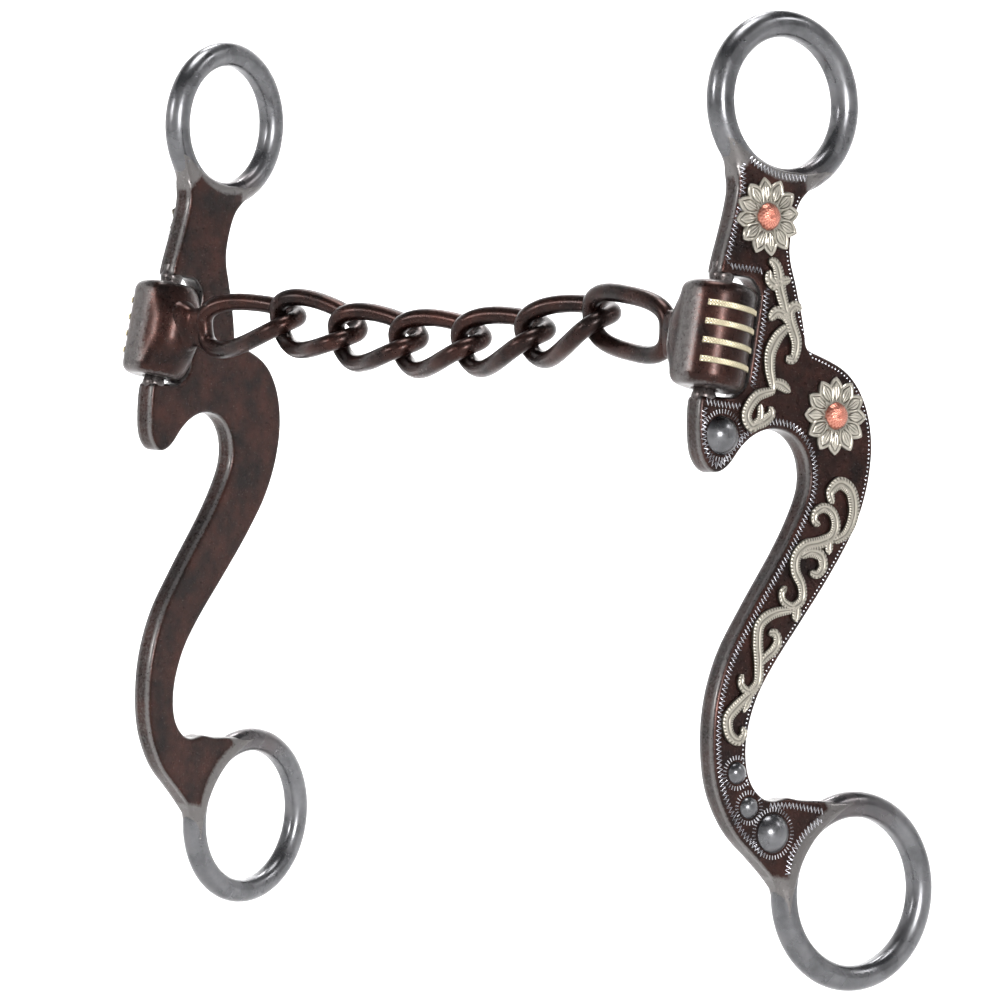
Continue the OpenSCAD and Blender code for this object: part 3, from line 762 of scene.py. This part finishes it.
def browned_steel(look):
    """Mild steel browned by controlled rusting and then oiled: a dark, faintly red, satin skin with
    fine grey speckle, rubbed back to grey metal wherever straps and hands wear it. On the cheek plates'
    rounded edges that grey is also a painted highlight."""
    material, tree, place = new_finish("browned_steel")
    worn = add(tree, "ShaderNodeAttribute", attribute_name="worn")
    # clouds 6 mm across tint the skin, and grains 0.5 mm across speckle it
    cloud = add(tree, "ShaderNodeTexNoise", {"Scale": 1 / 0.006, "Detail": 4.0, "Roughness": 0.6},
                {"Vector": (place, "Object")})
    grain = add(tree, "ShaderNodeTexNoise", {"Scale": 1 / 0.0005, "Detail": 3.0, "Roughness": 0.65},
                {"Vector": (place, "Object")})
    tint = add(tree, "ShaderNodeMapRange", {"From Min": 0.35, "From Max": 0.7}, {"Value": (cloud, "Fac")})
    skin_colour = add(tree, "ShaderNodeMix", {6: linear(look.brown_dark), 7: linear(look.brown_light)},
                      {0: (tint, "Result")}, data_type="RGBA")
    speck = add(tree, "ShaderNodeMapRange", {"From Min": 0.63, "From Max": 0.8, "To Max": 0.5},
                {"Value": (grain, "Fac")})
    specked = add(tree, "ShaderNodeMix", {7: linear(look.worn_steel)},
                  {0: (speck, "Result"), 6: (skin_colour, 2)}, data_type="RGBA")
    # wear breaks up along its border, where the grain decides which spots are rubbed through
    ragged = add(tree, "ShaderNodeMath", {1: 0.55}, {0: (grain, "Fac")}, operation="MULTIPLY")
    shifted = add(tree, "ShaderNodeMath", links={0: (worn, "Fac"), 1: (ragged, "Value")}, operation="ADD")
    bare = add(tree, "ShaderNodeMapRange", {"From Min": 0.55, "From Max": 1.0}, {"Value": (shifted, "Value")})
    colour = add(tree, "ShaderNodeMix", {7: linear(look.worn_steel)},
                 {0: (bare, "Result"), 6: (specked, 2)}, data_type="RGBA")
    rough = add(tree, "ShaderNodeMapRange",
                {"From Min": 0.3, "From Max": 0.75, "To Min": 0.24, "To Max": 0.42},
                {"Value": (grain, "Fac")})
    bump = add(tree, "ShaderNodeBump", {"Strength": 0.22, "Distance": 0.00006}, {"Height": (grain, "Fac")})
    oil = {"Coat Weight": 0.08, "Coat Roughness": 0.2}
    close_finish(tree, (colour, 2), (rough, "Result"), bump, 0.85, **oil)
    return material


def polished_steel(look):
    """Bar steel filed and polished by hand, then darkened a little by age: grey with soft cloudy
    streaks, fine scratches and brown left in its hollows."""
    material, tree, place = new_finish("polished_steel")
    stain = add(tree, "ShaderNodeAttribute", attribute_name="worn")
    cloud = add(tree, "ShaderNodeTexNoise", {"Scale": 1 / 0.005, "Detail": 5.0, "Roughness": 0.6},
                {"Vector": (place, "Object")})
    # scratches 0.3 mm apart, drawn out along Z
    stretch = add(tree, "ShaderNodeMapping", {"Scale": (1.0, 1.0, 0.12)}, {"Vector": (place, "Object")})
    scratch = add(tree, "ShaderNodeTexNoise", {"Scale": 1 / 0.0003, "Detail": 2.0},
                  {"Vector": (stretch, "Vector")})
    dull = add(tree, "ShaderNodeMath", links={0: (stain, "Fac"), 1: (cloud, "Fac")}, operation="MULTIPLY")
    shade = add(tree, "ShaderNodeMapRange", {"From Min": 0.15, "From Max": 0.8}, {"Value": (dull, "Value")})
    tone = add(tree, "ShaderNodeMapRange", {"From Min": 0.2, "From Max": 0.8}, {"Value": (cloud, "Fac")})
    grey = add(tree, "ShaderNodeMix", {6: linear(look.steel_dark), 7: linear(look.steel_light)},
               {0: (tone, "Result")}, data_type="RGBA")
    colour = add(tree, "ShaderNodeMix", {7: linear(look.brown_light)},
                 {0: (shade, "Result"), 6: (grey, 2)}, data_type="RGBA")
    rough = add(tree, "ShaderNodeMapRange", {"From Min": 0.3, "From Max": 0.7, "To Min": 0.2, "To Max": 0.36},
                {"Value": (cloud, "Fac")})
    bump = add(tree, "ShaderNodeBump", {"Strength": 0.12, "Distance": 0.00004}, {"Height": (scratch, "Fac")})
    close_finish(tree, (colour, 2), (rough, "Result"), bump, 1.0)
    return material


def engraved_metal(name, bright, dark, smoothest, roughest):
    """Sheet metal cut by a graver: bright on its faces, black with old polish in its cuts, and dimmed as
    painted shade where a piece's cut mark darkens it all over.
    """
    material, tree, place = new_finish(name)
    cut = add(tree, "ShaderNodeAttribute", attribute_name="cut")
    # tarnish in patches 1.5 mm across and graver chatter 0.2 mm apart
    cloud = add(tree, "ShaderNodeTexNoise", {"Scale": 1 / 0.0015, "Detail": 4.0},
                {"Vector": (place, "Object")})
    chatter = add(tree, "ShaderNodeTexNoise", {"Scale": 1 / 0.0002, "Detail": 2.0},
                  {"Vector": (place, "Object")})
    tarnish = add(tree, "ShaderNodeMapRange", {"From Min": 0.45, "From Max": 0.75, "To Max": 0.35},
                  {"Value": (cloud, "Fac")})
    # the cut mark is old polish in real cuts, and painted shade over the scroll ribbons' whole face
    deep = add(tree, "ShaderNodeMapRange", {"From Min": 0.25, "From Max": 0.95, "To Max": 0.85},
               {"Value": (cut, "Fac")})
    both = add(tree, "ShaderNodeMath", links={0: (tarnish, "Result"), 1: (deep, "Result")},
               operation="MAXIMUM")
    colour = add(tree, "ShaderNodeMix", {6: linear(bright), 7: linear(dark)}, {0: (both, "Value")},
                 data_type="RGBA")
    rough = add(tree, "ShaderNodeMapRange", {"To Min": smoothest, "To Max": roughest},
                {"Value": (both, "Value")})
    bump = add(tree, "ShaderNodeBump", {"Strength": 0.2, "Distance": 0.00004}, {"Height": (chatter, "Fac")})
    close_finish(tree, (colour, 2), (rough, "Result"), bump, 1.0)
    return material


def floor_paint():
    """Matt studio paint: pale, even, with a faint roller texture 3 mm across."""
    material, tree, place = new_finish("studio_paint")
    roller = add(tree, "ShaderNodeTexNoise", {"Scale": 1 / 0.003, "Detail": 2.0},
                 {"Vector": (place, "Object")})
    colour = add(tree, "ShaderNodeMix", {6: linear("#f4f4f4"), 7: linear("#f7f7f7")}, {0: (roller, "Fac")},
                 data_type="RGBA")
    rough = add(tree, "ShaderNodeMapRange", {"To Min": 0.8, "To Max": 0.9}, {"Value": (roller, "Fac")})
    bump = add(tree, "ShaderNodeBump", {"Strength": 0.02, "Distance": 0.0001}, {"Height": (roller, "Fac")})
    close_finish(tree, (colour, 2), (rough, "Result"), bump, 0.0)
    return material


FINISHES = {}


def finish_for(slot):
    """The material for one of the record's slots, made the first time that it is asked for."""
    look = bpy.context.scene.curb_bit_finish
    if slot not in FINISHES:
        FINISHES[slot] = {
            "browned_steel": lambda: browned_steel(look),
            "polished_steel": lambda: polished_steel(look),
            # each cut metal's bright colour, the dark in its cuts, and its roughness on faces and in cuts
            "german_silver": lambda: engraved_metal("german_silver", look.silver, "#35322a", 0.3, 0.5),
            "engraved_silver": lambda: engraved_metal("warm_silver", look.warm_silver, "#33291a", 0.25, 0.5),
            "copper": lambda: engraved_metal("bright_copper", look.copper, "#7c3423", 0.28, 0.45),
            "bright_cut": lambda: engraved_metal("bright_cut_steel", look.bright_cut, "#6a6a70", 0.25, 0.4),
        }[slot]()
    return FINISHES[slot]


# ---------------------------------------------------------------- settings

class CurbBitShape(bpy.types.PropertyGroup):
    edge_r: bpy.props.FloatProperty(
        name="Edge radius", description="Rounding of the cheek plates' edges", default=0.7 * MM,
        min=0.2 * MM, max=1.2 * MM, unit="LENGTH", subtype="DISTANCE")
    shoulder_r: bpy.props.FloatProperty(
        name="Barrel shoulder", description="Rounding at a barrel's ends", default=1.9 * MM,
        min=0.5 * MM, max=2.5 * MM, unit="LENGTH", subtype="DISTANCE")
    band_width: bpy.props.FloatProperty(
        name="Band width", description="Width of a barrel's silver band", default=1.0 * MM,
        min=0.6 * MM, max=1.4 * MM, unit="LENGTH", subtype="DISTANCE")
    band_span: bpy.props.FloatProperty(
        name="Band span", description="Angle that a barrel's silver band covers",
        default=math.radians(100), min=0.5, max=3.0, unit="ROTATION", subtype="ANGLE")
    zigzag_period: bpy.props.FloatProperty(
        name="Border spacing", description="Length of one swing of the bright-cut borders",
        default=0.74 * MM, min=0.4 * MM, max=1.5 * MM, unit="LENGTH", subtype="DISTANCE")

    @property
    def shoulder(self):
        return self.shoulder_r / MM

    @property
    def band_w(self):
        return self.band_width / MM

    @property
    def band_arc(self):
        return math.degrees(self.band_span)


class CurbBitFinish(bpy.types.PropertyGroup):
    brown_dark: bpy.props.StringProperty(
        name="Browning, dark", description="Darkest brown of the browned steel", default="#160d0b")
    brown_light: bpy.props.StringProperty(
        name="Browning, light", description="Lightest brown of the browned steel", default="#331b15")
    worn_steel: bpy.props.StringProperty(
        name="Worn steel", description="Grey of the steel where browning has worn off", default="#5d5a59")
    steel_dark: bpy.props.StringProperty(
        name="Steel, dark", description="Darker grey of the polished steel", default="#48484a")
    steel_light: bpy.props.StringProperty(
        name="Steel, light", description="Lighter grey of the polished steel", default="#707072")
    silver: bpy.props.StringProperty(
        name="Silver", description="Colour of the scrolls and petals", default="#a09b91")
    warm_silver: bpy.props.StringProperty(
        name="Barrel bands", description="Colour of the barrels' bands", default="#d6ccae")
    copper: bpy.props.StringProperty(
        name="Copper", description="Colour of the flowers' centres", default="#bd8272")
    bright_cut: bpy.props.StringProperty(
        name="Bright cuts", description="Colour of the engraved borders", default="#bcbcc0")


# ---------------------------------------------------------------- operators

class CURBBIT_OT_cheeks(bpy.types.Operator):
    """Both cheek plates with their front posts"""
    bl_idname = "curbbit.cheeks"
    bl_label = "Cheek plates"

    def execute(self, context):
        verts, quads, faces, marks = cheek_plate(context.scene.curb_bit_shape.edge_r / MM)
        for side in SIDES:
            pin, pin_quads, pin_caps = skin(post())
            plate = make_piece(
                f"cheek_plate_{side}", f"{side}_cheek", "browned_steel",
                [(placed(verts, side), quads, faces, marks),
                 (placed(on_post(pin), side), pin_quads, pin_caps, 0.5)],
                replaces=[f"cheek_{side}"])
            if not plate.data.polygons:
                raise RuntimeError("the cheek plate came out empty")
        return {"FINISHED"}


class CURBBIT_OT_rings(bpy.types.Operator):
    """The headstall and rein rings"""
    bl_idname = "curbbit.rings"
    bl_label = "Rings"

    def execute(self, context):
        for side in SIDES:
            for name, ring in (("headstall_ring", HEADSTALL), ("rein_ring", REIN)):
                verts, quads, caps, marks = ring_bar(ring)
                make_piece(f"{name}_bar_{side}", f"{side}_cheek", "polished_steel",
                           [(placed(verts, side), quads, caps, marks)], replaces=[f"{name}_{side}"])
        return {"FINISHED"}


class CURBBIT_OT_barrels(bpy.types.Operator):
    """The barrels with their collars, and the silver bands on them"""
    bl_idname = "curbbit.barrels"
    bl_label = "Barrels"

    def execute(self, context):
        sizes = context.scene.curb_bit_shape
        for side in SIDES:
            make_piece(f"barrel_sleeve_{side}", f"{side}_barrel", "browned_steel",
                       [barrel_part(side, sizes), collar_part(side)], replaces=[f"barrel_{side}"])
            bands = [band_part((i - (BANDS - 1) / 2) * BAND_PITCH, side, sizes) for i in range(BANDS)]
            make_piece(f"barrel_strips_{side}", f"{side}_barrel", "engraved_silver", bands, "cut",
                       [f"barrel_bands_{side}"])
        return {"FINISHED"}


class CURBBIT_OT_end_loops(bpy.types.Operator):
    """The loop welded to each barrel's collar"""
    bl_idname = "curbbit.end_loops"
    bl_label = "End loops"

    def execute(self, context):
        reach = LOOP_ARM + LINKED / 2
        for side, loop in LOOPS.items():
            verts, quads, caps, marks = wire_link(-reach, -WELD_REACH, loop["free"], 90)
            c, s = math.cos(math.radians(loop["rise"])), math.sin(math.radians(loop["rise"]))
            x, y, z = verts[:, 0] + WELD_REACH, verts[:, 1], verts[:, 2]
            verts = placed(np.column_stack([x * c + z * s - WELD_REACH, y, LOOP_UP - x * s + z * c]), side)
            make_piece(f"welded_loop_{side}", f"{side}_barrel", "browned_steel",
                       [(verts, quads, caps, marks)], replaces=[f"end_loop_{side}"])
        return {"FINISHED"}


class CURBBIT_OT_chain(bpy.types.Operator):
    """The five twisted links of the mouth"""
    bl_idname = "curbbit.chain"
    bl_label = "Chain links"

    def execute(self, context):
        pivots, slopes, pitch, back = chain_points()
        link_bodies = {1: "link_1", 2: "link_2", 3: "middle_link", 4: "link_4", 5: "link_5"}
        for i, body in link_bodies.items():
            verts, quads, caps, marks = wire_link(-LINKED, pitch, 90 + LINK_TURN, LINK_TURN)
            c, s = math.cos(slopes[i]), math.sin(slopes[i])
            x = pivots[i][0] + verts[:, 0] * c - verts[:, 2] * s
            z = pivots[i][1] + verts[:, 0] * s + verts[:, 2] * c
            verts = np.column_stack([x, back + verts[:, 1], z]) * MM
            make_piece(f"twisted_link_{i}", body, "browned_steel", [(verts, quads, caps, marks)],
                       replaces=[f"chain_link_{i}"])
        return {"FINISHED"}


class CURBBIT_OT_flowers(bpy.types.Operator):
    """The silver flowers and their copper centres"""
    bl_idname = "curbbit.flowers"
    bl_label = "Flowers"

    def execute(self, context):
        for side in SIDES:
            for name, at, lead in (("upper", UPPER_FLOWER, 3), ("lower", LOWER_FLOWER, -5)):
                petals = [petal_part(at, math.radians(lead) + TAU * k / PETALS, k * 5 % 3 - 1, side)
                          for k in range(PETALS)]
                make_piece(f"{name}_petals_{side}", f"{side}_cheek", "german_silver", petals, "cut",
                           [f"{name}_flower_{side}"])
            centres = [dome_part(at, CENTRE_R, 1.2 + TRIM_T, PLATE_HALF, side, stipple=0.07)
                       for at in (UPPER_FLOWER, LOWER_FLOWER)]
            make_piece(f"copper_centres_{side}", f"{side}_cheek", "copper", centres, "cut",
                       [f"flower_centres_{side}"])
        return {"FINISHED"}


class CURBBIT_OT_scrolls(bpy.types.Operator):
    """The engraved silver scrolls"""
    bl_idname = "curbbit.scrolls"
    bl_label = "Scrolls"

    def execute(self, context):
        for side in SIDES:
            for name, strokes in (("upper", UPPER_SCROLL), ("lower", LOWER_SCROLL)):
                ribbons = [ribbon_part(line, width, side) for line, width in strokes]
                make_piece(f"{name}_ribbons_{side}", f"{side}_cheek", "german_silver", ribbons, "cut",
                           [f"{name}_scroll_{side}"])
        return {"FINISHED"}


class CURBBIT_OT_studs(bpy.types.Operator):
    """The domed steel studs"""
    bl_idname = "curbbit.studs"
    bl_label = "Studs"

    def execute(self, context):
        for side in SIDES:
            for name, studs in (("spur_stud", [SPUR_STUD]), ("shank_studs", SHANK_STUDS)):
                domes = [dome_part(at, r, 0.62 * r, PLATE_HALF - SUNK, side, facet=0.02) for at, r in studs]
                make_piece(f"{name}_domes_{side}", f"{side}_cheek", "polished_steel", domes,
                           replaces=[f"{name}_{side}"])
        return {"FINISHED"}


class CURBBIT_OT_borders(bpy.types.Operator):
    """The bright-cut borders, beads and rays on the outer faces"""
    bl_idname = "curbbit.borders"
    bl_label = "Engraved borders"

    def execute(self, context):
        period = context.scene.curb_bit_shape.zigzag_period / MM
        plate = cheek_outline()
        shank = inset(FRONT_EDGE[SHANK_FRONT], -FRONT_MARGIN)
        rear = np.concatenate([inset(BACK_EDGE[SHANK_BACK], -BACK_MARGIN)[:-3],
                               inset(NECK_BACK[NECK_BORDER], -BACK_MARGIN)])
        for side in SIDES:
            parts = [zigzag_part(evenly(spline(path), 0.2), side, period=period) for path in ZIGZAGS]
            parts.append(zigzag_part(shank, side, period=period))
            parts += bead_parts(rear, side)
            for at, r in (SPUR_STUD, *SHANK_STUDS):
                parts += ray_parts(at, r, side, plate)
            make_piece(f"engraved_borders_{side}", f"{side}_cheek", "german_silver", parts, "cut",
                       finish="bright_cut")
        return {"FINISHED"}


class CURBBIT_OT_stage(bpy.types.Operator):
    """The pale floor, the soft lights and the camera"""
    bl_idname = "curbbit.stage"
    bl_label = "Stage and camera"

    def execute(self, context):
        scene = context.scene
        # a pale bowl: a flat floor that curves up into a round wall
        bend = np.linspace(0, math.pi / 2, 14)
        profile = np.concatenate([[[0.001, 0], [0.5, 0], [1.2, 0]],
                                  np.column_stack([1.8 + 0.7 * np.sin(bend), 0.7 - 0.7 * np.cos(bend)]),
                                  [[2.5, 1.4], [2.5, 2.2]]])
        rings = turned(profile, 96)[::-1]
        rings[..., 2] += CAD_BOX[0].z - FLOOR_DROP
        verts, quads, caps = skin(rings)
        mesh = bpy.data.meshes.new("studio_floor")
        mesh.from_pydata(verts.tolist(), [], quads.tolist() + caps[1:])
        mesh.polygons.foreach_set("use_smooth", np.ones(len(mesh.polygons), bool))
        mesh.materials.append(floor_paint())
        floor = bpy.data.objects.new("studio_floor", mesh)
        scene.collection.objects.link(floor)

        lights = (
            # name, power, size, place, target
            ("key", 17.0, 0.3, (1.28, -0.55, 0.22), (0, 0, 0)),
            ("front", 8.0, 0.3, (-0.35, -1.3, 0.5), (0, 0, 0)),
            ("rim", 3.5, 0.3, (1.0, 0.85, 0.9), (0, 0, 0)),
            ("top", 26.0, 0.8, (0, 0.1, 1.7), (0, 0, 0)),
            ("backdrop", 60.0, 0.8, (-0.9, 0.85, 1.7), (-1.8, 1.7, 0.2)),
        )
        for name, power, size, spot, target in lights:
            lamp = bpy.data.lights.new(name, "AREA")
            lamp.energy, lamp.shape, lamp.size = power, "DISK", size
            lit = bpy.data.objects.new(name, lamp)
            lit.location = spot
            lit.rotation_euler = (Vector(target) - Vector(spot)).to_track_quat("-Z", "Y").to_euler()
            scene.collection.objects.link(lit)

        world = bpy.data.worlds.new("studio")
        world.use_nodes = True
        world.node_tree.nodes.clear()
        sky = add(world.node_tree, "ShaderNodeBackground", {"Color": (0.92, 0.94, 0.97, 1), "Strength": 0.3})
        add(world.node_tree, "ShaderNodeOutputWorld", links={"Surface": (sky, "Background")})
        scene.world = world
        scene.view_settings.view_transform = "Standard"

        az, el, roll = (math.radians(CAMERA[k]) for k in ("azimuth", "elevation", "roll"))
        look = Vector((-math.sin(az) * math.cos(el), math.cos(az) * math.cos(el), -math.sin(el)))
        level = Vector((math.cos(az), math.sin(az), 0))
        upright = level.cross(look)
        right = level * math.cos(roll) + upright * math.sin(roll)
        up = upright * math.cos(roll) - level * math.sin(roll)
        spot = (-CAMERA["distance"] * look + CAMERA["across"] * right + CAMERA["up"] * up) * MM
        lens = bpy.data.cameras.new("camera")
        lens.lens, lens.sensor_width = CAMERA["lens"], 36.0
        lens.clip_start, lens.clip_end = 0.05, 10.0
        camera = bpy.data.objects.new("camera", lens)
        camera.matrix_world = Matrix((
            (right.x, up.x, -look.x, spot.x), (right.y, up.y, -look.y, spot.y),
            (right.z, up.z, -look.z, spot.z), (0, 0, 0, 1)))
        scene.collection.objects.link(camera)
        scene.camera = camera
        return {"FINISHED"}


OPERATORS = (
    CURBBIT_OT_cheeks, CURBBIT_OT_rings, CURBBIT_OT_barrels, CURBBIT_OT_end_loops, CURBBIT_OT_chain,
    CURBBIT_OT_flowers, CURBBIT_OT_scrolls, CURBBIT_OT_studs, CURBBIT_OT_borders, CURBBIT_OT_stage,
)


class CURBBIT_PT_panel(bpy.types.Panel):
    """Sizes, finishes and pieces of the curb bit"""
    bl_idname = "CURBBIT_PT_panel"
    bl_label = "Curb Bit"
    bl_space_type = "VIEW_3D"
    bl_region_type = "UI"
    bl_category = "Curb Bit"

    def draw(self, context):
        for group in (context.scene.curb_bit_shape, context.scene.curb_bit_finish):
            column = self.layout.column()
            for key in group.bl_rna.properties.keys():
                if key not in ("rna_type", "name"):
                    column.prop(group, key)
        for operator in OPERATORS:
            self.layout.operator(operator.bl_idname)


CLASSES = (CurbBitShape, CurbBitFinish, *OPERATORS, CURBBIT_PT_panel)


def register():
    """Adds the settings, the operators and the panel."""
    for cls in CLASSES:
        bpy.utils.register_class(cls)
    bpy.types.Scene.curb_bit_shape = bpy.props.PointerProperty(type=CurbBitShape)
    bpy.types.Scene.curb_bit_finish = bpy.props.PointerProperty(type=CurbBitFinish)


def unregister():
    """Takes them away again, in the opposite order."""
    del bpy.types.Scene.curb_bit_finish
    del bpy.types.Scene.curb_bit_shape
    for cls in reversed(CLASSES):
        bpy.utils.unregister_class(cls)


def main():
    """Makes every piece and the stage."""
    register()
    for operator in OPERATORS:
        group, name = operator.bl_idname.split(".")
        if getattr(getattr(bpy.ops, group), name)() != {"FINISHED"}:
            raise RuntimeError(f"{operator.bl_label} was not finished")


if __name__ == "__main__":
    main()
